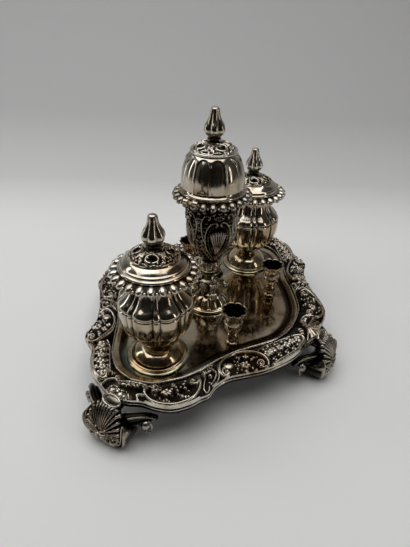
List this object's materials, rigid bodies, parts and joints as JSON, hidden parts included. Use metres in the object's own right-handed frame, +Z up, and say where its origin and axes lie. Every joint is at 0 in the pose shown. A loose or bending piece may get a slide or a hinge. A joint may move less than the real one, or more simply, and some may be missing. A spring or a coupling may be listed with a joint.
{
  "type": "desk inkstand",
  "caption": "Footed cartouche tray with lidded inkwells, a hinged centre vase and flared pen cups in aged silver plate.",
  "frame": {"origin": "on the table, under the middle of the tray", "axes": "+X along the tray's long axis towards inkwell b, -Y towards the writer's long side, +Z up"},
  "size_m": [0.2892, 0.2252, 0.1898],
  "materials": {
    "silver_plate": "worn polished silver plate with warm tarnish",
    "cast_silver": "cast and chased silver plate, dark in its recesses",
    "brass": "dull turned brass",
    "clear_glass": "clear pressed glass"
  },
  "bodies": {
    "stand": {"border_side_1": "cast_silver", "border_side_2": "cast_silver", "border_side_3": "cast_silver", "border_side_4": "cast_silver", "foot_1": "cast_silver", "foot_2": "cast_silver", "foot_3": "cast_silver", "foot_4": "cast_silver", "hinge_pin": "brass", "inkwell_a_bolt": "brass", "inkwell_a_bowl": "silver_plate", "inkwell_a_collar": "cast_silver", "inkwell_a_foot": "silver_plate", "inkwell_a_liner": "clear_glass", "inkwell_a_nut": "brass", "inkwell_a_shoulder": "silver_plate", "inkwell_b_bolt": "brass", "inkwell_b_bowl": "silver_plate", "inkwell_b_collar": "cast_silver", "inkwell_b_foot": "silver_plate", "inkwell_b_liner": "clear_glass", "inkwell_b_nut": "brass", "inkwell_b_shoulder": "silver_plate", "pen_cup_1": "silver_plate", "pen_cup_2": "silver_plate", "pen_cup_3": "silver_plate", "pen_cup_4": "silver_plate", "pen_cup_nut_1": "brass", "pen_cup_nut_2": "brass", "pen_cup_nut_3": "brass", "pen_cup_nut_4": "brass", "tray_pan": "silver_plate", "vase_base": "silver_plate", "vase_bolt": "brass", "vase_collar": "cast_silver", "vase_cup": "cast_silver", "vase_knop": "cast_silver", "vase_nut": "brass", "vase_stem": "cast_silver"},
    "cover": {"cover_dome": "silver_plate", "cover_cap": "cast_silver", "cover_finial": "silver_plate", "cover_finial_nut": "brass"},
    "lid_a": {"inkwell_a_lid": "silver_plate", "inkwell_a_finial": "silver_plate", "inkwell_a_finial_nut": "brass"},
    "lid_b": {"inkwell_b_lid": "silver_plate", "inkwell_b_finial": "silver_plate", "inkwell_b_finial_nut": "brass"}
  },
  "joints": [
    {"name": "cover_hinge", "type": "hinge", "parent": "stand", "child": "cover", "pos_m": [-0.0315, 0, 0.1325], "axis": [0, -1, 0], "range_deg": [0, 90]},
    {"name": "lid_a_lift", "type": "slide", "parent": "stand", "child": "lid_a", "axis": [0, 0, 1], "range_m": [0, 0.012]},
    {"name": "lid_b_lift", "type": "slide", "parent": "stand", "child": "lid_b", "axis": [0, 0, 1], "range_m": [0, 0.012]}
  ]
}
